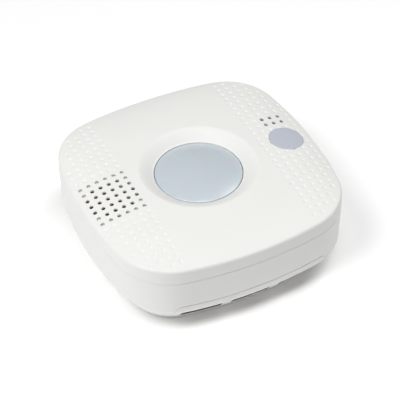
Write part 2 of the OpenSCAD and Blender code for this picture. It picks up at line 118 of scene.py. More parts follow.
# The wall plate's hooks, the radius they stand at and the angles along one slot, in degrees
HOOKS = (0, 60, 120, 180)
HOOK_RING = 40
HOOK_SLOT = (-16, -12, -8, -4, 0, 4)

# Where the four housing screws stand
SCREWS = ((38.5, 38.5), (-38.5, 38.5), (44.5, -24), (-44.5, -24))

# Battery door, its vents and the pips under the middle one
DOOR_HALF = 39.0
DOOR_TOP = 15.5
DOOR_CORNER = 3.0
DOOR_BACK = -21.15
VENTS = ((-35.2, -15.2), (-10.5, 9.5), (14.2, 34.2))
VENT_LOW = 4.2
VENT_HIGH = 9.2
PIPS = (-8.2, -1.7, 4.1)
PIP_HEIGHT = 3.5
PIP_RADIUS = 0.7


def linear(hex_colour):
    """sRGB hex colour as linear red, green, blue and alpha."""
    out = []
    for k in (1, 3, 5):
        v = int(hex_colour[k : k + 2], 16) / 255
        out.append(v / 12.92 if v <= 0.04045 else ((v + 0.055) / 1.055) ** 2.4)
    return (*out, 1.0)


# ---------------------------------------------------------------- outline and crown


def outline_angles():
    """Outward directions of the outline's points, from the left end of the -Y side, anticlockwise."""
    angles = []
    for quarter in range(4):
        base = (quarter - 1) * math.pi / 2
        angles += [base - SWITCH + 2 * SWITCH * k / SIDE_STEPS for k in range(SIDE_STEPS)]
        angles += [base + SWITCH + CORNER_SWEEP * k / CORNER_STEPS for k in range(CORNER_STEPS)]
    return np.array(angles)


def outline(angle, inset):
    """Points of the outline with these outward directions, set in by inset mm."""
    angle = np.asarray(angle, float)
    turn = np.round(angle / (math.pi / 2)) * (math.pi / 2)
    local = angle - turn
    side = np.abs(local) <= SWITCH + 1e-9
    x = np.where(
        side,
        (SIDE_RADIUS - inset) * np.cos(local) - SIDE_OFFSET,
        CORNER_CENTRE + (CORNER_RADIUS - inset) * np.cos(local),
    )
    y = np.where(
        side,
        (SIDE_RADIUS - inset) * np.sin(local),
        np.sign(local) * CORNER_CENTRE + (CORNER_RADIUS - inset) * np.sin(local),
    )
    c, s = np.cos(turn), np.sin(turn)
    return np.stack([x * c - y * s, x * s + y * c], -1)


def inset_of(x, y):
    """How far in from the outline each point is."""
    a, b = np.maximum(np.abs(x), np.abs(y)), np.minimum(np.abs(x), np.abs(y))
    side = np.arctan2(b, a + SIDE_OFFSET) <= SWITCH
    return np.where(
        side,
        SIDE_RADIUS - np.hypot(a + SIDE_OFFSET, b),
        CORNER_RADIUS - np.hypot(a - CORNER_CENTRE, b - CORNER_CENTRE),
    )


def front_angle(x, inset):
    """Outward direction, from that of the -Y side's middle, of the outline's point at x."""
    x = np.asarray(x, float)
    side_reach = (SIDE_RADIUS - inset) * math.sin(SWITCH)
    on_side = np.arcsin(np.clip(x / (SIDE_RADIUS - inset), -1, 1))
    on_corner = np.arcsin(np.clip((np.abs(x) - CORNER_CENTRE) / (CORNER_RADIUS - inset), -1, 1))
    return np.where(np.abs(x) <= side_reach, on_side, np.sign(x) * on_corner)


def front_run(local):
    """Distance along the -Y side's outline to the point with this outward direction."""
    return np.where(
        np.abs(local) <= SWITCH,
        SIDE_RADIUS * local,
        np.sign(local) * (SIDE_RADIUS * SWITCH + CORNER_RADIUS * (np.abs(local) - SWITCH)),
    )


def lattice():
    """(dimples, holes): places of the two kinds of mark on the cover."""
    dimples, holes = [], []
    for side in (-1, 1):
        for column, rows in enumerate(ROWS):
            for row in range(-rows, rows + 1):
                x, y = side * (FIRST_COLUMN + column * PITCH_X), row * PITCH_Y
                if side < 0 and abs(row) <= 3 or side > 0 and column in (2, 3, 4) and row in (3, 4):
                    holes.append((x, y))
                elif side < 0 or math.hypot(x - WINDOW_X, y) > WINDOW_RADIUS:
                    dimples.append((x, y))
    return dimples, holes


DIMPLES, HOLES = lattice()
DIMPLED = np.zeros((2, len(ROWS), 25), bool)
for _x, _y in DIMPLES:
    DIMPLED[int(_x > 0), round((abs(_x) - FIRST_COLUMN) / PITCH_X), round(_y / PITCH_Y) + 12] = True


def smooth_step(t):
    """0 below 0, 1 above 1, and level at both ends."""
    t = np.clip(t, 0, 1)
    return t * t * (3 - 2 * t)


def crown(x, y):
    """Height of the crown before the dish and the dimples are taken out."""
    return CROWN - BOW_2 * (x * x + y * y) - BOW_6 * (x**6 + y**6)


def cover_height(x, y, dimple_radius, dimple_depth):
    """Height of the cover's outer face."""
    radius = np.hypot(x, y)
    inward = np.clip((DISH_OUTER - radius) / (DISH_OUTER - DISH_INNER), 0, 1)
    dish = (crown(DISH_INNER, 0.0) - DISH_FLOOR) * inward**1.35
    column = np.clip(np.round((np.abs(x) - FIRST_COLUMN) / PITCH_X), 0, len(ROWS) - 1).astype(int)
    row = np.clip(np.round(y / PITCH_Y), -12, 12).astype(int)
    away = np.hypot(np.abs(x) - FIRST_COLUMN - column * PITCH_X, y - row * PITCH_Y) / dimple_radius
    bowl = np.where(DIMPLED[(x > 0).astype(int), column, row + 12], 1 - np.minimum(away, 1) ** 2, 0)
    return crown(x, y) - dish - dimple_depth * bowl


def upward(height, x, y):
    """Directions square to the surface z = height(x, y)."""
    step = 0.03
    gx = (height(x + step, y) - height(x - step, y)) / (2 * step)
    gy = (height(x, y + step) - height(x, y - step)) / (2 * step)
    n = np.stack([-gx, -gy, np.ones_like(gx)], -1)
    return n / np.linalg.norm(n, axis=1, keepdims=True)


def wall_inset(z):
    """How far in the housing's wall is at height z, with a soft bend where it turns in."""
    draft = BEND_INSET * (PARTING - JOINT_GAP - z) / (PARTING - JOINT_GAP - BEND)
    foot = BEND_INSET + (BEND - z) * FOOT_SLOPE
    soft = 0.5
    near = np.clip(1 - np.abs(foot - draft) / soft, 0, 1)
    return np.maximum(draft, foot) + soft * near**2 / 4


def wall_points(angle, z, sink=0.0):
    """(points, directions) on the housing's wall, sunk in by sink mm."""
    angle, z = np.broadcast_arrays(np.asarray(angle, float), np.asarray(z, float))
    inset = wall_inset(z)
    slope = (wall_inset(z + 0.05) - wall_inset(z - 0.05)) / 0.1
    n = np.stack([np.cos(angle), np.sin(angle), slope], -1)
    n /= np.linalg.norm(n, axis=-1, keepdims=True)
    xy = outline(angle, inset)
    return np.concatenate([xy, z[..., None]], -1) - sink * n, n


def inside(loop, points):
    """Which points lie inside a closed loop."""
    x, y = points[:, 0], points[:, 1]
    result = np.zeros(len(points), bool)
    for (x0, y0), (x1, y1) in zip(loop, np.roll(loop, -1, 0)):
        if y0 == y1:
            continue
        result ^= ((y0 > y) != (y1 > y)) & (x < x0 + (y - y0) * (x1 - x0) / (y1 - y0))
    return result


# ---------------------------------------------------------------- mesh making


class Skin:
    """One moulded wall in the making: points in mm, the direction each faces, and faces."""

    def __init__(self):
        self.points, self.facing, self.shade, self.faces = [], [], [], []

    def add(self, points, facing, shaded=True):
        """Adds points that face these directions, and returns their numbers."""
        points = np.asarray(points, float)
        facing = np.broadcast_to(np.asarray(facing, float), points.shape)
        first = len(self.points)
        self.points += [tuple(p) for p in points]
        self.facing += [tuple(n) for n in facing]
        self.shade += [shaded] * len(points)
        return list(range(first, first + len(points)))

    def bridge(self, a, b, closed=True):
        """Faces between two rows of as many points."""
        for k in range(len(a) if closed else len(a) - 1):
            j = (k + 1) % len(a)
            self.faces.append((a[k], a[j], b[j], b[k]))

    def fill(self, flat, border, cuts=(), loose=()):
        """Covers the area inside border and outside cuts. flat gives each point's place on a plane."""
        ids = list(border) + [k for cut in cuts for k in cut] + list(loose)
        place = {k: n for n, k in enumerate(ids)}
        spots = np.array([flat(k) for k in ids])
        edges = []
        for loop in (border, *cuts):
            edges += [(place[loop[k]], place[loop[(k + 1) % len(loop)]]) for k in range(len(loop))]
        found = delaunay_2d_cdt([Vector(p) for p in spots], edges, [], 0, 1e-6, True)
        source = [o[0] if o else -1 for o in found[3]]
        faces = np.array([[source[v] for v in face] for face in found[2]])
        faces = faces[(faces >= 0).all(1)]
        middle = spots[faces].mean(1)
        keep = inside(spots[[place[k] for k in border]], middle)
        for cut in cuts:
            keep &= ~inside(spots[[place[k] for k in cut]], middle)
        self.faces += [tuple(ids[v] for v in face) for face in faces[keep]]

    def thicken(self, wall):
        """Adds the inner face, wall mm in (one number, or one a point), and closes open edges."""
        points, facing = np.array(self.points), np.array(self.facing)
        count = len(points)
        inner = points - facing * np.broadcast_to(wall, count)[:, None]
        uses = {}
        for face in self.faces:
            for k, v in enumerate(face):
                edge = (v, face[(k + 1) % len(face)])
                uses.setdefault(frozenset(edge), []).append(edge)
        rim = [e[0] for e in uses.values() if len(e) == 1]
        self.faces += [tuple(v + count for v in reversed(face)) for face in self.faces]
        self.faces += [(b, a, a + count, b + count) for a, b in rim]
        self.points += [tuple(p) for p in inner]
        self.facing += [tuple(-n) for n in facing]
        self.shade += self.shade

    def block(self, low, high):
        """Adds a plain rib or wall between two corners."""
        corners = [
            (x, y, z) for z in (low[2], high[2]) for y in (low[1], high[1]) for x in (low[0], high[0])
        ]
        v = self.add(corners, (0, 0, 1), False)
        sides = ((0, 2, 3, 1), (4, 5, 7, 6), (0, 1, 5, 4), (2, 6, 7, 3), (0, 4, 6, 2), (1, 3, 7, 5))
        for a, b, c, d in sides:
            self.faces.append((v[a], v[b], v[c], v[d]))

    def turn(self, profile, centre=(0.0, 0.0), steps=96, lift=None):
        """Adds a solid turned from a profile of (radius, height) that starts and ends on its axis."""
        rows = []
        for radius, z in profile:
            count = 1 if radius == 0 else steps
            angle = np.arange(count) * 2 * math.pi / count
            x, y = centre[0] + radius * np.cos(angle), centre[1] + radius * np.sin(angle)
            height = np.full(count, float(z)) + (0 if lift is None else lift(x, y))
            rows.append(self.add(np.stack([x, y, height], -1), (0, 0, 1), False))
        for a, b in zip(rows, rows[1:]):
            if len(a) == 1:
                self.faces += [(a[0], b[k], b[(k + 1) % steps]) for k in range(steps)]
            elif len(b) == 1:
                self.faces += [(b[0], a[(k + 1) % steps], a[k]) for k in range(steps)]
            else:
                self.bridge(b, a)

    def build(self, name, finish, body, node):
        """Makes the object, which rides on body and stands for node."""
        mesh = bpy.data.meshes.new(name)
        mesh.from_pydata((np.array(self.points) * MM).tolist(), [], self.faces)
        form = bmesh.new()
        form.from_mesh(mesh)
        loose = [v for v in form.verts if not v.link_faces]
        bmesh.ops.delete(form, geom=loose, context="VERTS")
        bmesh.ops.recalc_face_normals(form, faces=form.faces)
        form.to_mesh(mesh)
        form.free()
        mesh.polygons.foreach_set("use_smooth", [True] * len(mesh.polygons))
        mesh.set_sharp_from_angle(angle=math.radians(36))
        if any(self.shade):
            used = sorted({v for face in self.faces for v in face})
            facing = np.where(np.array(self.shade)[used, None], np.array(self.facing)[used], 0)
            corners = np.zeros(len(mesh.loops), int)
            mesh.loops.foreach_get("vertex_index", corners)
            flat = np.zeros(len(mesh.polygons) * 3)
            mesh.polygons.foreach_get("normal", flat)
            totals = np.zeros(len(mesh.polygons), int)
            mesh.polygons.foreach_get("loop_total", totals)
            own = np.repeat(flat.reshape(-1, 3), totals, axis=0)
            wanted = facing[corners]
            agree = (wanted * own).sum(1) > 0.9
            mesh.normals_split_custom_set(np.where(agree[:, None], wanted, 0).tolist())
        mesh.materials.append(finish_named(finish))
        piece = bpy.data.objects.new(name, mesh)
        bpy.context.scene.collection.objects.link(piece)
        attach(piece, body)
        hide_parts(node)
        return piece


# ---------------------------------------------------------------- materials


def add_node(tree, kind, settings=None, links=None):
    """Adds a node, sets its properties or input values, and links outputs to its inputs."""
    node = tree.nodes.new(kind)
    for name, value in (settings or {}).items():
        if isinstance(name, str) and hasattr(node, name):
            setattr(node, name, value)
        else:
            node.inputs[name].default_value = value
    for name, source in (links or {}).items():
        tree.links.new(source, node.inputs[name])
    return node


def surface(name, shader, grain_mm, grain_depth_mm, uneven, rough_span, stretch=(1, 1, 1)):
    """A material with a fine surface grain, and colour and gloss that vary a little across it.

    uneven is a pair of colours that a broad soft pattern moves between.
    """
    material = bpy.data.materials.new(name)
    material.use_nodes = True
    tree = material.node_tree
    tree.nodes.clear()
    place = add_node(tree, "ShaderNodeTexCoord").outputs["Object"]
    spread = add_node(tree, "ShaderNodeMapping", {"Scale": stretch}, {"Vector": place}).outputs[0]
    grain = add_node(
        tree,
        "ShaderNodeTexNoise",
        {"Scale": 1 / (grain_mm * MM), "Detail": 3.0, "Roughness": 0.6},
        {"Vector": spread},
    ).outputs["Fac"]
    broad = add_node(
        tree, "ShaderNodeTexNoise", {"Scale": 1 / (22 * MM), "Detail": 2.0}, {"Vector": place}
    ).outputs["Fac"]
    bump = add_node(
        tree, "ShaderNodeBump", {"Strength": 1.0, "Distance": grain_depth_mm * MM}, {"Height": grain}
    ).outputs[0]
    gloss = add_node(
        tree, "ShaderNodeMapRange", {"To Min": rough_span[0], "To Max": rough_span[1]}, {"Value": broad}
    ).outputs[0]
    links = {"Normal": bump, "Roughness": gloss}
    tint = add_node(tree, "ShaderNodeValToRGB", {}, {"Fac": broad})
    tint.color_ramp.elements[0].position = 0.3
    tint.color_ramp.elements[0].color = uneven[0]
    tint.color_ramp.elements[1].position = 0.7
    tint.color_ramp.elements[1].color = uneven[1]
    links["Base Color"] = tint.outputs[0]
    bsdf = add_node(tree, "ShaderNodeBsdfPrincipled", shader, links)
    add_node(tree, "ShaderNodeOutputMaterial", {}, {"Surface": bsdf.outputs[0]})
    return material


def tinted(colour, change):
    """A linear colour, lighter or darker by a share."""
    return tuple(min(1.0, c * (1 + change)) for c in colour[:3]) + (1.0,)


def moulded(name, colour, spread, grain_mm, depth_mm, rough, **shader):
    """A plastic, rubber or ceramic of one colour that varies by spread either way."""
    return surface(
        name, shader, grain_mm, depth_mm, (tinted(colour, -spread), tinted(colour, spread)), rough
    )


def plain_metal(name, hex_colour, grain_mm, depth_mm, rough, stretch=(1, 1, 1)):
    """A metal with its grain drawn out along one axis by stretch."""
    colour = linear(hex_colour)
    return surface(
        name,
        {"Metallic": 1.0},
        grain_mm,
        depth_mm,
        (tinted(colour, -0.06), tinted(colour, 0.03)),
        rough,
        stretch,
    )


def painted_shade_screen():
    """Woven glass mesh put behind the vents as painted shade: dark crossing yarns 0.5 mm apart, so the
    vents read as a fine dark cloth that stands for their deep hollows.
    """
    material = bpy.data.materials.new("painted_shade_mesh")
    material.use_nodes = True
    tree = material.node_tree
    tree.nodes.clear()
    place = add_node(tree, "ShaderNodeTexCoord").outputs["Object"]
    yarn = {"Scale": 2 * math.pi / (20 * 0.5 * MM), "wave_type": "BANDS"}
    warp = add_node(tree, "ShaderNodeTexWave", {**yarn, "bands_direction": "X"}, {"Vector": place})
    weft = add_node(tree, "ShaderNodeTexWave", {**yarn, "bands_direction": "Z"}, {"Vector": place})
    cloth = add_node(
        tree, "ShaderNodeMath", {"operation": "MAXIMUM"}, {0: warp.outputs["Fac"], 1: weft.outputs["Fac"]}
    ).outputs[0]
    # The near-black yarn colours are painted shade: they stand for the dark hollow behind each vent
    tint = add_node(tree, "ShaderNodeValToRGB", {}, {"Fac": cloth})
    tint.color_ramp.elements[0].color = linear("#1c1715")
    tint.color_ramp.elements[1].color = linear("#5a4c48")
    bump = add_node(tree, "ShaderNodeBump", {"Distance": 0.12 * MM}, {"Height": cloth}).outputs[0]
    # No specular reflection, so the painted-shade screen stays dark even at a grazing view
    bsdf = add_node(
        tree,
        "ShaderNodeBsdfPrincipled",
        {"Roughness": 0.9, "Specular IOR Level": 0.0},
        {"Base Color": tint.outputs[0], "Normal": bump},
    )
    add_node(tree, "ShaderNodeOutputMaterial", {}, {"Surface": bsdf.outputs[0]})
    return material


def solder_mask():
    """Glass-epoxy board under glossy green solder mask, with faint lighter tracks 1.2 mm apart."""
    material = bpy.data.materials.new("solder_masked_laminate")
    material.use_nodes = True
    tree = material.node_tree
    tree.nodes.clear()
    place = add_node(tree, "ShaderNodeTexCoord").outputs["Object"]
    tracks = add_node(
        tree,
        "ShaderNodeTexBrick",
        {
            "Scale": 1.0,
            "Brick Width": 14 * MM,
            "Row Height": 1.2 * MM,
            "Mortar Size": 0.15 * MM,
            "Color1": linear("#0d4a2b"),
            "Color2": linear("#0f5230"),
            "Mortar": linear("#2c7a4c"),
        },
        {"Vector": place},
    )
    bump = add_node(
        tree, "ShaderNodeBump", {"Distance": 0.035 * MM}, {"Height": tracks.outputs["Fac"]}
    ).outputs[0]
    bsdf = add_node(
        tree,
        "ShaderNodeBsdfPrincipled",
        {"Roughness": 0.28, "IOR": 1.52},
        {"Base Color": tracks.outputs["Color"], "Normal": bump},
    )
    add_node(tree, "ShaderNodeOutputMaterial", {}, {"Surface": bsdf.outputs[0]})
    return material


def enamelled_winding():
    """Enamelled copper wire, 0.3 mm: ridged bands of brown-red gloss round the coil."""
    material = bpy.data.materials.new("enamelled_copper_winding")
    material.use_nodes = True
    tree = material.node_tree
    tree.nodes.clear()
    place = add_node(tree, "ShaderNodeTexCoord").outputs["Object"]
    turns = add_node(
        tree,
        "ShaderNodeTexWave",
        {"Scale": 2 * math.pi / (20 * 0.3 * MM), "bands_direction": "Z"},
        {"Vector": place},
    ).outputs["Fac"]
    tint = add_node(tree, "ShaderNodeValToRGB", {}, {"Fac": turns})
    tint.color_ramp.elements[0].color = linear("#4a1e0e")
    tint.color_ramp.elements[1].color = linear("#b5622f")
    bump = add_node(tree, "ShaderNodeBump", {"Distance": 0.1 * MM}, {"Height": turns}).outputs[0]
    bsdf = add_node(
        tree,
        "ShaderNodeBsdfPrincipled",
        {"Metallic": 0.8, "Roughness": 0.3},
        {"Base Color": tint.outputs[0], "Normal": bump},
    )
    add_node(tree, "ShaderNodeOutputMaterial", {}, {"Surface": bsdf.outputs[0]})
    return material


def make_materials(finishes):
    """Every material of the detector, by name."""
    white = tuple(finishes.shell_white) + (1.0,)
    lens = tuple(finishes.lens_grey) + (1.0,)
    window = tuple(finishes.window_grey) + (1.0,)
    made = [
        # White ABS from a finely spark-textured mould: satin, with a grain of about 0.35 mm
        moulded("moulded_white_abs", white, 0.006, 0.35, 0.004, (0.5, 0.56), IOR=1.5),
        # Off-white ABS of the hidden mouldings: duller and a little warmer than the shells
        moulded("moulded_natural_abs", linear("#dedcd6"), 0.015, 0.4, 0.01, (0.45, 0.55), IOR=1.5),
        # Milky polycarbonate from a polished mould: cool grey, smooth, with light spreading inside
        moulded(
            "diffusing_polycarbonate",
            lens,
            0.006,
            1.5,
            0.002,
            (0.26, 0.3),
            IOR=1.585,
            **{"Subsurface Weight": 0.12, "Subsurface Scale": 2.5 * MM},
        ),
        # Polycarbonate of the small window: flatter and bluer, with a light frost
        moulded("frosted_polycarbonate", window, 0.006, 0.5, 0.002, (0.4, 0.46), IOR=1.585),
        # Clear acrylic light guide: bright polished edges
        moulded(
            "polished_acrylic",
            linear("#e6eef0"),
            0.01,
            2.0,
            0.002,
            (0.05, 0.1),
            IOR=1.49,
            **{"Transmission Weight": 0.6},
        ),
        # Diffused epoxy of the lamps, each dyed in its own colour
        moulded("dyed_epoxy_red", linear("#b3241b"), 0.03, 0.5, 0.004, (0.2, 0.28)),
        moulded("dyed_epoxy_amber", linear("#cf7a16"), 0.03, 0.5, 0.004, (0.2, 0.28)),
        moulded("dyed_epoxy_green", linear("#3f9b45"), 0.03, 0.5, 0.004, (0.2, 0.28)),
        moulded("milky_epoxy", linear("#e9e6d6"), 0.02, 0.5, 0.004, (0.2, 0.28)),
        # Black moulding compound of chips and switches: charcoal with a dusty grain
        moulded("black_moulding_compound", linear("#1d1d1f"), 0.15, 0.12, 0.006, (0.5, 0.62)),
        # Moulded acetal of the switch's plunger: waxy ivory
        moulded("moulded_acetal", linear("#dccfae"), 0.03, 0.3, 0.004, (0.35, 0.42)),
        # Closed-cell foam: black with open pores of about 0.4 mm
        moulded("closed_cell_foam", linear("#18181a"), 0.3, 0.4, 0.12, (0.85, 0.95)),
        # Porous filter membrane: matt white felt-like fibres
        moulded("porous_membrane", linear("#ecebe6"), 0.04, 0.25, 0.03, (0.9, 0.97)),
        # Silvered ceramic of the sounder: pale and slightly chalky
        moulded("silvered_ceramic", linear("#cfccc2"), 0.05, 0.2, 0.006, (0.35, 0.45)),
        # Shrink sleeve of the cells: smooth dark film
        moulded("shrink_sleeve", linear("#23282c"), 0.08, 3.0, 0.01, (0.22, 0.3)),
        # Drawn aluminium can: fine lines along the draw
        plain_metal("drawn_aluminium", "#c9cacc", 0.2, 0.003, (0.28, 0.36), (6, 6, 0.4)),
        # Rolled brass: warm, with rolling lines
        plain_metal("rolled_brass", "#c8a35a", 0.25, 0.003, (0.25, 0.34), (0.4, 6, 6)),
        # Nickel-plated spring wire and strip: bright with drawing lines
        plain_metal("nickel_plated_steel", "#bdb9b0", 0.2, 0.003, (0.2, 0.3), (6, 6, 1)),
        # Zinc-plated screws: bluish grey, slightly cloudy
        plain_metal("zinc_plated_steel", "#aeb3b8", 0.3, 0.004, (0.3, 0.42)),
        painted_shade_screen(),
        solder_mask(),
        enamelled_winding(),
        # Floor of painted board: pale and quite matt, lit from below so that shadows stay faint
        moulded(
            "painted_board",
            tuple(finishes.floor_white) + (1.0,),
            0.002,
            3.0,
            0.004,
            (0.85, 0.9),
            **{"Emission Color": (1, 1, 1, 1), "Emission Strength": FLOOR_GLOW},
        ),
    ]
    return {m.name: m for m in made}


# Which material each carried-over CAD node gets
CARRIED = {
    "moulded_natural_abs": ("mounting_plate", "button_carrier", "sounder_chamber"),
    "polished_acrylic": ("light_guide",),
    "dyed_epoxy_red": ("red_led",),
    "dyed_epoxy_amber": ("amber_led",),
    "dyed_epoxy_green": ("green_led",),
    "milky_epoxy": ("status_led",),
    "black_moulding_compound": ("microcontroller", "test_switch"),
    "moulded_acetal": ("test_switch_plunger",),
    "closed_cell_foam": ("cell_gasket",),
    "porous_membrane": ("inlet_filter",),
    "silvered_ceramic": ("sounder_ceramic",),
    "shrink_sleeve": ("battery_a", "battery_b"),
    "drawn_aluminium": ("capacitors", "co_cell"),
    "rolled_brass": ("sounder_diaphragm", "sounder_contacts"),
    "nickel_plated_steel": ("button_spring", "contact_springs", "contact_plates"),
    "zinc_plated_steel": ("housing_screws", "board_screws"),
    # The vent screen is a dark sheet that paints the shade inside the vents
    "painted_shade_mesh": ("vent_screen",),
    "solder_masked_laminate": ("circuit_board",),
    "enamelled_copper_winding": ("sounder_coil",),
}


def finish_named(name):
    """The material with this name, made with all the others when it is first asked for."""
    if name not in bpy.data.materials:
        make_materials(bpy.context.scene.detector_finishes)
    return bpy.data.materials[name]


# ---------------------------------------------------------------- settings


def length(name, description, mm):
    """A length setting, given in mm."""
    return bpy.props.FloatProperty(
        name=name, description=description, default=mm * MM, unit="LENGTH"
    )


def tone(name, description, hex_colour):
    """A colour setting, given as a hex colour."""
    return bpy.props.FloatVectorProperty(
        name=name, description=description, default=linear(hex_colour)[:3], size=3, subtype="COLOR"
    )


class DetectorSizes(bpy.types.PropertyGroup):
    """Sizes of the moulded details."""

    wall: length("Wall", "Wall thickness of the shells", 2)
    grille_wall: length("Grille wall", "Wall left where the cover is drilled", 0.7)
    edge_radius: length("Edge radius", "Rounding between the cover's sides and its crown", 1.5)
    dimple_radius: length("Dimple radius", "Radius of each dimple", 1.2)
    dimple_depth: length("Dimple depth", "Depth of each dimple", 0.36)
    lip: length("Lip", "Chamfer along cut edges", 0.12)
    door_gap: length("Door gap", "Gap all round the battery door", 0.1)


class DetectorFinishes(bpy.types.PropertyGroup):
    """Colours of the detector and its floor."""

    shell_white: tone("Shell white", "Colour of the moulded shells", "#efefec")
    lens_grey: tone("Lens grey", "Colour of the test button", "#c7d0d6")
    window_grey: tone("Window grey", "Colour of the status window", "#c3c8d3")
    floor_white: tone("Floor white", "Colour of the floor", "#fbfbfb")


# ---------------------------------------------------------------- pieces


def build_front_cover(sizes):
    """The crowned cover: sides, rounded edge, dish, dimples, holes and the window's seat."""
    radius, depth, lip = sizes.dimple_radius / MM, sizes.dimple_depth / MM, sizes.lip / MM
    edge, wall = sizes.edge_radius / MM, sizes.wall / MM
    skin = Skin()

    def height(x, y):
        return cover_height(np.asarray(x, float), np.asarray(y, float), radius, depth)

    angles = outline_angles()
    out = np.stack([np.cos(angles), np.sin(angles)], -1)

    # The edge is an arc that runs into the crown's own slope, which changes round the outline
    end = np.full(len(angles), math.radians(74))
    for _ in range(4):
        spot = outline(angles, edge * (1 - np.cos(end)))
        ahead = spot + 0.05 * out
        fall = (crown(spot[:, 0], spot[:, 1]) - crown(ahead[:, 0], ahead[:, 1])) / 0.05
        end = math.pi / 2 - np.arctan(fall)
    spot = outline(angles, edge * (1 - np.cos(end)))
    base = crown(spot[:, 0], spot[:, 1]) - edge * np.sin(end)

    def ring(inset, z, a):
        xy = outline(angles, inset)
        facing = np.concatenate([out * np.cos(a)[:, None], np.sin(a)[:, None]], 1)
        return skin.add(np.concatenate([xy, np.broadcast_to(z, len(angles))[:, None]], 1), facing)

    level = np.zeros(len(angles))
    rings = [
        ring(0.14, PARTING, level),
        ring(0.04, PARTING + 0.05, level),
        ring(0, PARTING + 0.16, level),
        ring(0, (PARTING + base) / 2, level),
    ]
    steps = 9
    for k in range(steps + 1):
        a = end * k / steps
        rings.append(ring(edge * (1 - np.cos(a)), base + edge * np.sin(a), a))
    for a, b in zip(rings, rings[1:]):
        skin.bridge(a, b)

    def patch(xy):
        xy = np.asarray(xy, float)
        x, y = xy[:, 0], xy[:, 1]
        return skin.add(np.stack([x, y, height(x, y)], -1), upward(height, x, y))

    def circle(centre, r, count, phase=0.0):
        a = phase + np.arange(count) * 2 * math.pi / count
        return np.stack([centre[0] + r * np.cos(a), centre[1] + r * np.sin(a)], -1)

    def sunk(loop, centre, r, drop):
        """Copy of a loop of points pulled to radius r and dropped."""
        a = np.arange(len(loop)) * 2 * math.pi / len(loop)
        x, y = centre[0] + r * np.cos(a), centre[1] + r * np.sin(a)
        return skin.add(np.stack([x, y, height(x, y) - drop], -1), upward(height, x, y), False)

    # Openings: the loop in the skin, then a lip that turns down into each one
    cuts = []
    for centre in HOLES:
        top = patch(circle(centre, HOLE_RADIUS + 0.22, 20))
        mid = sunk(top, centre, HOLE_RADIUS + 0.06, 0.05)
        low = sunk(top, centre, HOLE_RADIUS, 0.2)
        skin.bridge(top, mid)
        skin.bridge(mid, low)
        cuts.append(top)
    window = (WINDOW_X, 0.0)
    top = patch(circle(window, WINDOW_RADIUS + 0.16, 72))
    mid = sunk(top, window, WINDOW_RADIUS + 0.03, 0.1)
    low = sunk(top, window, WINDOW_RADIUS, 1.7)
    seat = sunk(top, window, WINDOW_RADIUS - 1.8, 1.7)
    for a, b in ((top, mid), (mid, low), (low, seat)):
        skin.bridge(a, b)
    cuts.append(top)
    bowl = patch(circle((0, 0), DISH_INNER, 160))
    turn = np.arange(160) * 2 * math.pi / 160
    inward = np.stack([-np.cos(turn), -np.sin(turn), 0 * turn], -1)
    previous = bowl
    for r, z, tilt in (
        (21.45, DISH_FLOOR - 0.06, 0.5),
        (21.3, DISH_FLOOR - 0.2, 0.8),
        (APERTURE, DISH_FLOOR - 0.5, 1),
        (APERTURE, LEDGE, 1),
    ):
        facing = inward * tilt + np.array([0, 0, 1 - tilt])
        facing /= np.linalg.norm(facing, axis=1, keepdims=True)
        points = np.stack([r * np.cos(turn), r * np.sin(turn), np.full(160, z)], -1)
        row = skin.add(points, facing)
        skin.bridge(previous, row)
        previous = row
    cuts.append(bowl)

    # Loose points: rings in every dimple and in the dish, and a lattice over the rest
    loose = []
    for centre in DIMPLES:
        loose.append([centre])
        for share, count in ((0.3, 8), (0.58, 12), (0.82, 16), (1, 16), (1.1, 16)):
            loose.append(circle(centre, radius * share, count, share))
    for r in np.linspace(DISH_INNER + 0.7, DISH_OUTER + 0.8, 13):
        loose.append(circle((0, 0), r, 128, r))
    marks = np.array(DIMPLES + HOLES)
    banded = [s * (FIRST_COLUMN + k * PITCH_X / 2) for s in (-1, 1) for k in range(-1, 12)]
    xs = np.concatenate([np.arange(-12, 13) * 2.6, banded])
    xs = np.unique(np.round(xs[(np.abs(xs) < 30.5) | (np.abs(xs) >= 31.9)], 4))
    grid = np.stack(np.meshgrid(xs, np.arange(-28, 29) * PITCH_Y / 2), -1).reshape(-1, 2)
    near = np.hypot(grid[:, None, 0] - marks[None, :, 0], grid[:, None, 1] - marks[None, :, 1]).min(1)
    grid = grid[(near > 1.65) & (np.hypot(grid[:, 0], grid[:, 1]) > DISH_OUTER + 1.6)]
    loose.append(grid)
    loose = np.concatenate([np.asarray(p, float) for p in loose])
    away = np.hypot(loose[:, 0] - WINDOW_X, loose[:, 1]) > WINDOW_RADIUS + 0.35
    clear = inset_of(loose[:, 0], loose[:, 1]) > edge * (1 - math.cos(end.max())) + 0.25
    loose = patch(loose[away & clear & (np.hypot(loose[:, 0], loose[:, 1]) > DISH_INNER + 0.2)])
    skin.fill(lambda k: skin.points[k][:2], rings[-1], cuts, loose)

    points = np.array(skin.points)
    from_sounder = np.hypot(points[:, 0] - SOUNDER[0], points[:, 1] - SOUNDER[1])
    from_inlet = np.hypot(points[:, 0] - WINDOW_X, points[:, 1] - 3.5 * PITCH_Y)
    thin = np.maximum(
        1 - smooth_step((from_sounder - 18.2) / 1.4), 1 - smooth_step(from_inlet - 6.4)
    )
    thickness = wall + (sizes.grille_wall / MM - wall) * thin
    near_window = np.hypot(points[:, 0] - WINDOW_X, points[:, 1]) < WINDOW_RADIUS + 0.03
    thickness[near_window & (points[:, 2] > 30)] = 0.6
    skin.thicken(thickness)
    skin.build("front_cover_shell", "moulded_white_abs", "head", "front_cover")


def door_edge(grow):
    """(x, height) points up the door's right edge, across its top and down its left edge."""
    w, top, r = DOOR_HALF + grow, DOOR_TOP + grow, DOOR_CORNER + grow
    path = [(w, z) for z in np.linspace(UNDERSIDE, top - r, 9)]
    corner = np.linspace(0, math.pi / 2, 9)[1:]
    path += [(w - r + r * math.cos(a), top - r + r * math.sin(a)) for a in corner]
    path += [(x, top) for x in np.linspace(w - r, r - w, 27)[1:-1]]
    path += [(-x, z) for x, z in reversed(path[: 9 + 8])]
    return np.array(path)


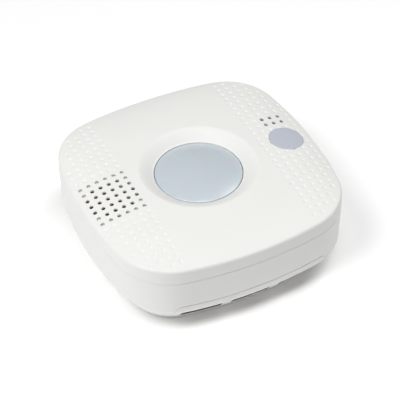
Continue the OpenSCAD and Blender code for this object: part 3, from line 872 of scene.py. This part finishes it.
def wall_row(skin, path, sink=0.0, shaded=True):
    """Adds a path of (x, height) points on the -Y wall: returns their numbers and flat places."""
    local = front_angle(path[:, 0], wall_inset(path[:, 1]))
    points, facing = wall_points(local - math.pi / 2, path[:, 1], sink)
    ids = skin.add(points, facing, shaded)
    return ids, {k: (float(u), float(z)) for k, u, z in zip(ids, front_run(local), path[:, 1])}


def fold(skin, numbers):
    """Makes points on the fold between the sloping foot and the floor face between the two."""
    for k in numbers:
        n = np.array(skin.facing[k]) + np.array([0, 0, -1])
        skin.facing[k] = tuple(n / np.linalg.norm(n) * 1.1)
        skin.shade[k] = False


def build_rear_housing(sizes):
    """The rear housing: its tapering wall, floor with screw bores and hook slots, and battery bay."""
    gap, lip, wall = sizes.door_gap / MM, sizes.lip / MM, sizes.wall / MM
    skin = Skin()
    angles = outline_angles()
    top = PARTING - JOINT_GAP
    levels = [top - 0.16, 28, 24, 20, 17.2, 15.2, 14, 13.2, 12.7, 12.2, 11.7, 11, 9, 7, 5, UNDERSIDE]
    rows = []
    for inset, z in ((0.14, top), (0.04, top - 0.05)):
        points, facing = wall_points(angles, np.full(len(angles), z))
        points[:, :2] = outline(angles, inset)
        rows.append(skin.add(points, facing))
    for z in levels:
        rows.append(skin.add(*wall_points(angles, np.full(len(angles), float(z)))))

    # The door's stretch of wall lies between these two columns, and is filled separately
    right = SIDE_STEPS + 6
    left = 4 * QUARTER - 6
    for a, b in zip(rows, rows[1:]):
        skin.bridge(a[right : left + 1], b[right : left + 1], closed=False)
    columns = list(range(left, 4 * QUARTER)) + list(range(right + 1))
    flat = {}
    for row in rows:
        for k in columns:
            local = (angles[k] + math.pi / 2 + math.pi) % (2 * math.pi) - math.pi
            flat[row[k]] = (float(front_run(local)), skin.points[row[k]][2])
    outer, places = wall_row(skin, door_edge(gap + lip))
    flat.update(places)
    x_edge = DOOR_HALF + gap + lip
    z_edge = DOOR_TOP + gap + lip
    bottom = rows[-1]
    bottom_right = [bottom[k] for k in columns if skin.points[bottom[k]][0] > x_edge + 0.2]
    bottom_left = [bottom[k] for k in columns if skin.points[bottom[k]][0] < -x_edge - 0.2]
    border = [rows[0][k] for k in columns]
    border += [row[right] for row in rows[1:-1]]
    border += bottom_right[::-1] + outer + bottom_left[::-1]
    border += [row[left] for row in rows[-2:0:-1]]
    taken = set(border)
    loose = [
        k
        for row in rows[1:-1]
        for k in (row[c] for c in columns)
        if k not in taken
        and (abs(skin.points[k][0]) > x_edge + 0.3 or skin.points[k][2] > z_edge + 0.3)
    ]
    skin.fill(lambda k: flat[k], border, (), loose)

    # The floor, its notch for the door, its screw bores and its hook slots
    around = [bottom[k] for k in range(right + 1, left)]
    fold(skin, bottom + [outer[0], outer[-1]])
    down = (0, 0, -1)
    back = DOOR_BACK + gap + lip
    notch = [(-x_edge, back), (x_edge, back)]
    floor_outer = skin.add([(x, y, UNDERSIDE) for x, y in notch], down, False)
    cuts, bores = [], []
    for x, y in SCREWS:
        a = np.arange(28) * 2 * math.pi / 28
        loop = np.stack([x + 3.1 * np.cos(a), y + 3.1 * np.sin(a), np.full(28, UNDERSIDE)], -1)
        bores.append(skin.add(loop, down, False))
    for at in HOOKS:
        turn = [math.radians(at + d) for d in HOOK_SLOT]
        wide = [2.8 if d <= -8 else 1.3 for d in HOOK_SLOT]
        outer_run = [(HOOK_RING + w, t) for t, w in zip(turn, wide)]
        inner_run = [(HOOK_RING - w, t) for t, w in zip(turn[::-1], wide[::-1])]
        loop = [(r * math.cos(t), r * math.sin(t), UNDERSIDE) for r, t in outer_run + inner_run]
        cuts.append(skin.add(loop, down, False))
    edge = bottom_right + around + bottom_left
    skin.fill(lambda k: skin.points[k][:2], edge + [outer[-1]] + floor_outer + [outer[0]], cuts + bores)

    # The chamfer that runs round the whole notch
    inner, _ = wall_row(skin, door_edge(gap), lip * 0.8, False)
    fold(skin, [inner[0], inner[-1]])
    x_in, y_in = DOOR_HALF + gap, DOOR_BACK + gap
    floor_inner = skin.add([(s * x_in, y_in, UNDERSIDE + 0.1) for s in (-1, 1)], down, False)
    skin.bridge(outer + floor_outer, inner + floor_inner)
    skin.thicken(wall)

    # Screw pillars and the battery bay, as they stand on the floor inside
    for x, y in SCREWS:
        profile = [(0, 25.5), (4.4, 25.5), (4.4, 4.6), (3.2, 4.6), (3.2, 22.5), (0, 22.5)]
        skin.turn(profile, (x, y), 32)
    skin.block((-30.5, -51.3, 21.7), (30.5, -20, 23.2))
    skin.block((-30.5, -20, 4.5), (30.5, -18.5, 23.2))
    for side in (-1, 1):
        low, high = sorted((side * 29, side * 30.5))
        skin.block((low, -51.3, 10), (high, -20, 21.7))
    skin.block((-29, -51.3, 10), (29, -50, 21.7))
    skin.build("rear_housing_shell", "moulded_white_abs", "head", "rear_housing")


def build_battery_door(sizes):
    """The sliding battery door: a panel of wall, foot and floor with three vents and its rails."""
    gap, lip, wall = sizes.door_gap / MM, sizes.lip / MM, sizes.wall / MM
    skin = Skin()
    inner_edge = door_edge(-gap - lip)
    panel, flat = wall_row(skin, inner_edge)
    x_edge = DOOR_HALF - gap - lip
    foot = np.array([(x, UNDERSIDE) for x in np.linspace(-x_edge, x_edge, 29)[1:-1]])
    fold_row, places = wall_row(skin, foot, 0.0, False)
    flat.update(places)

    cuts, lips = [], []
    r = 0.9
    for x0, x1 in VENTS:
        def vent(grow):
            path = []
            for cx, cz, a0 in (
                (x1 - r, VENT_LOW + r, -90),
                (x1 - r, VENT_HIGH - r, 0),
                (x0 + r, VENT_HIGH - r, 90),
                (x0 + r, VENT_LOW + r, 180),
            ):
                for a in np.radians(np.linspace(a0, a0 + 90, 6)):
                    path.append((cx + (r + grow) * math.cos(a), cz + (r + grow) * math.sin(a)))
                if a0 in (0, 180):
                    step = (x0 + 2 * r - x1) / 8 if a0 == 0 else (x1 - 2 * r - x0) / 8
                    z = VENT_HIGH + grow if a0 == 0 else VENT_LOW - grow
                    start = x1 - r if a0 == 0 else x0 + r
                    path += [(start + step * k, z) for k in range(1, 8)]
            return np.array(path)

        loop, places = wall_row(skin, vent(0.15))
        flat.update(places)
        sunk, _ = wall_row(skin, vent(0.0), 0.12, False)
        skin.bridge(loop, sunk)
        cuts.append(loop)
    heights = (14.6, 13.8, 13.2, 12.7, 12.2, 11.7, 11, 10.2)
    field = [(x, z) for x in np.linspace(-37, 37, 26) for z in heights]
    loose, places = wall_row(skin, np.array(field))
    flat.update(places)
    skin.fill(lambda k: flat[k], panel + fold_row, cuts, loose)
    fold(skin, fold_row + [panel[0], panel[-1]])

    down = (0, 0, -1)
    y_back = DOOR_BACK - gap - lip
    corners = skin.add([(x_edge, y_back, UNDERSIDE), (-x_edge, y_back, UNDERSIDE)], down, False)
    skin.fill(lambda k: skin.points[k][:2], [panel[-1]] + fold_row + [panel[0]] + corners)
    outer, _ = wall_row(skin, door_edge(-gap), lip * 0.8, False)
    fold(skin, [outer[0], outer[-1]])
    x_out, y_out = DOOR_HALF - gap, DOOR_BACK - gap
    floor_outer = skin.add([(s * x_out, y_out, UNDERSIDE + 0.1) for s in (-1, 1)], down, False)
    skin.bridge(panel + corners[::-1], outer + floor_outer)
    skin.thicken(wall)

    # The catch and the two rails that run on top of the housing's floor
    skin.block((-8, -22.8, 4.5), (8, -21.6, 6.3))
    skin.block((-8, -22.8, 5.15), (8, -19, 6.3))
    for side in (-1, 1):
        skin.block((min(side * 36, side * 38), -31.5, 4.5), (max(side * 36, side * 38), -29, 6.2))
        skin.block((min(side * 36, side * 40.6), -31.5, 5.2), (max(side * 36, side * 40.6), -29, 6.2))
    for x in PIPS:
        angle = float(front_angle(x, wall_inset(PIP_HEIGHT))) - math.pi / 2
        place = wall_points([angle], [PIP_HEIGHT])[0][0]
        arc = np.linspace(0, math.pi, 9)
        ball = [(PIP_RADIUS * math.sin(a), PIP_HEIGHT + PIP_RADIUS * math.cos(a)) for a in arc]
        ball[0], ball[-1] = (0, ball[0][1]), (0, ball[-1][1])
        skin.turn(ball, place[:2], 16)
    skin.build("battery_door_panel", "moulded_white_abs", "door", "battery_door")


def build_test_button():
    """The domed lens of the test button, its skirt, flange and stem."""
    rim_r, rim_z, apex = 20.9, 38.7, 42.1
    dome = (rim_r**2 + (apex - rim_z) ** 2) / (2 * (apex - rim_z))
    profile = [(0, apex)]
    for radius in (1.5, 3, 5, 7, 9, 11, 13, 15, 17, 18.5, 19.6, 20.2):
        profile.append((radius, apex - dome + math.sqrt(dome**2 - radius**2)))
    edge, steepest = 0.45, math.radians(72)
    start = profile[-1][1] - 0.17
    for k in range(1, 6):
        a = math.radians(72 - 72 * k / 5)
        drop = edge * (math.sin(steepest) - math.sin(a))
        profile.append((rim_r - edge + edge * math.cos(a), start - drop))
    profile += [(rim_r, 36.8), (22.3, 36.8), (22.3, 35.8), (19.3, 35.8), (19.3, 37.4)]
    for radius in (16, 12, 8, 5, 3):
        profile.append((radius, apex - 1.5 - dome + math.sqrt(dome**2 - radius**2)))
    profile += [(3, 31.15), (0, 31.15)]
    skin = Skin()
    skin.turn(profile, steps=128)
    skin.build("test_button_lens", "diffusing_polycarbonate", "button", "test_button")


def build_status_window():
    """The small window that lies flush in the crown."""
    profile = [(0, -0.05)] + [(r, -0.05) for r in (2, 4, 6, 7.4, 8.1)]
    profile += [(8.26, -0.08), (8.33, -0.18), (8.33, -1.6)]
    profile += [(6, -1.6), (0, -1.6)]
    skin = Skin()
    skin.turn(profile, (WINDOW_X, 0.0), 72, crown)
    skin.build("status_window_disc", "frosted_polycarbonate", "head", "status_window")


def direction(turn, rise):
    """Direction at an angle round from -Y and an angle up, in radians."""
    return Vector(
        (math.sin(turn) * math.cos(rise), -math.cos(turn) * math.cos(rise), math.sin(rise))
    )


def build_stage():
    """Floor, soft studio light and the camera."""
    scene = bpy.context.scene
    reach, steps = 1.6, 12
    mesh = bpy.data.meshes.new("studio_floor")
    span = np.linspace(-reach, reach, steps + 1)
    low = CAD_BOX[0][2] - 0.00005
    points = [(x, y, low) for y in span for x in span]
    row = steps + 1
    faces = [
        (j * row + k, j * row + k + 1, (j + 1) * row + k + 1, (j + 1) * row + k)
        for j in range(steps)
        for k in range(steps)
    ]
    mesh.from_pydata(points, [], faces)
    mesh.materials.append(finish_named("painted_board"))
    floor = bpy.data.objects.new("studio_floor", mesh)
    scene.collection.objects.link(floor)

    scene.view_settings.view_transform = "Standard"
    world = scene.world or bpy.data.worlds.new("studio_light")
    scene.world = world
    world.use_nodes = True
    tree = world.node_tree
    tree.nodes.clear()
    sky = add_node(tree, "ShaderNodeBackground", {"Color": (1, 1, 1, 1), "Strength": ROOM_LIGHT})
    add_node(tree, "ShaderNodeOutputWorld", {}, {"Surface": sky.outputs[0]})

    for name, azimuth, elevation, size, power in SOFT_LIGHTS:
        lamp = bpy.data.lights.new(name, "AREA")
        lamp.shape = "DISK"
        lamp.size = size
        lamp.energy = power
        light = bpy.data.objects.new(name, lamp)
        turn, rise = math.radians(azimuth), math.radians(elevation)
        place = direction(turn, rise)
        light.location = place * 1.1
        light.rotation_euler = (-place).to_track_quat("-Z", "Y").to_euler()
        scene.collection.objects.link(light)

    # The camera looks down at the button from the front left
    azimuth, elevation, roll = (math.radians(a) for a in (-25.83, 43.246, -0.7475))
    back = direction(azimuth, elevation)
    right = Vector((math.cos(azimuth), math.sin(azimuth), 0))
    up = back.cross(right)
    side = math.cos(roll) * right + math.sin(roll) * up
    top = math.cos(roll) * up - math.sin(roll) * right
    lens = bpy.data.cameras.new("studio_camera")
    lens.lens = 176.7
    lens.sensor_width = 36
    lens.clip_start = 0.05
    camera = bpy.data.objects.new("studio_camera", lens)
    place = Vector((-9.99, -21.77, 43.1)) * MM + back * 909.8 * MM
    camera.matrix_world = Matrix.Translation(place) @ Matrix((side, top, back)).transposed().to_4x4()
    scene.collection.objects.link(camera)
    scene.camera = camera


# ---------------------------------------------------------------- operators and panel


class DETECTOR_OT_front_cover(bpy.types.Operator):
    """Make the crowned front cover with its dish, dimples and holes"""

    bl_idname = "detector.front_cover"
    bl_label = "Front Cover"

    def execute(self, context):
        build_front_cover(context.scene.detector_sizes)
        return {"FINISHED"}


class DETECTOR_OT_rear_housing(bpy.types.Operator):
    """Make the rear housing with the opening for the battery door"""

    bl_idname = "detector.rear_housing"
    bl_label = "Rear Housing"

    def execute(self, context):
        build_rear_housing(context.scene.detector_sizes)
        return {"FINISHED"}


class DETECTOR_OT_battery_door(bpy.types.Operator):
    """Make the sliding battery door with its vents"""

    bl_idname = "detector.battery_door"
    bl_label = "Battery Door"

    def execute(self, context):
        build_battery_door(context.scene.detector_sizes)
        return {"FINISHED"}


class DETECTOR_OT_test_button(bpy.types.Operator):
    """Make the domed lens of the test button"""

    bl_idname = "detector.test_button"
    bl_label = "Test Button"

    def execute(self, context):
        build_test_button()
        return {"FINISHED"}


class DETECTOR_OT_status_window(bpy.types.Operator):
    """Make the flush status window"""

    bl_idname = "detector.status_window"
    bl_label = "Status Window"

    def execute(self, context):
        build_status_window()
        return {"FINISHED"}


class DETECTOR_OT_inner_pieces(bpy.types.Operator):
    """Give the carried-over inner pieces and the wall plate their finishes"""

    bl_idname = "detector.inner_pieces"
    bl_label = "Inner Pieces"

    def execute(self, context):
        for name, nodes in CARRIED.items():
            material = finish_named(name)
            for node in nodes:
                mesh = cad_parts[node].data
                mesh.materials.clear()
                mesh.materials.append(material)
        return {"FINISHED"}


class DETECTOR_OT_stage(bpy.types.Operator):
    """Set out the floor, the lights and the camera"""

    bl_idname = "detector.stage"
    bl_label = "Stage"

    def execute(self, context):
        build_stage()
        return {"FINISHED"}


OPERATORS = (
    DETECTOR_OT_front_cover,
    DETECTOR_OT_rear_housing,
    DETECTOR_OT_battery_door,
    DETECTOR_OT_test_button,
    DETECTOR_OT_status_window,
    DETECTOR_OT_inner_pieces,
    DETECTOR_OT_stage,
)


class DETECTOR_PT_sidebar(bpy.types.Panel):
    """Sidebar panel of the detector"""

    bl_idname = "DETECTOR_PT_sidebar"
    bl_label = "Carbon Monoxide Detector"
    bl_space_type = "VIEW_3D"
    bl_region_type = "UI"
    bl_category = "Detector"

    def draw(self, context):
        for group in (context.scene.detector_sizes, context.scene.detector_finishes):
            column = self.layout.column()
            for name in group.__annotations__:
                column.prop(group, name)
        for operator in OPERATORS:
            self.layout.operator(operator.bl_idname)


CLASSES = (DetectorSizes, DetectorFinishes, *OPERATORS, DETECTOR_PT_sidebar)


def register():
    for item in CLASSES:
        bpy.utils.register_class(item)
    bpy.types.Scene.detector_sizes = bpy.props.PointerProperty(type=DetectorSizes)
    bpy.types.Scene.detector_finishes = bpy.props.PointerProperty(type=DetectorFinishes)


def unregister():
    del bpy.types.Scene.detector_finishes
    del bpy.types.Scene.detector_sizes
    for item in reversed(CLASSES):
        bpy.utils.unregister_class(item)


def main():
    register()
    bpy.ops.detector.front_cover()
    bpy.ops.detector.rear_housing()
    bpy.ops.detector.battery_door()
    bpy.ops.detector.test_button()
    bpy.ops.detector.status_window()
    bpy.ops.detector.inner_pieces()
    bpy.ops.detector.stage()


if __name__ == "__main__":
    main()
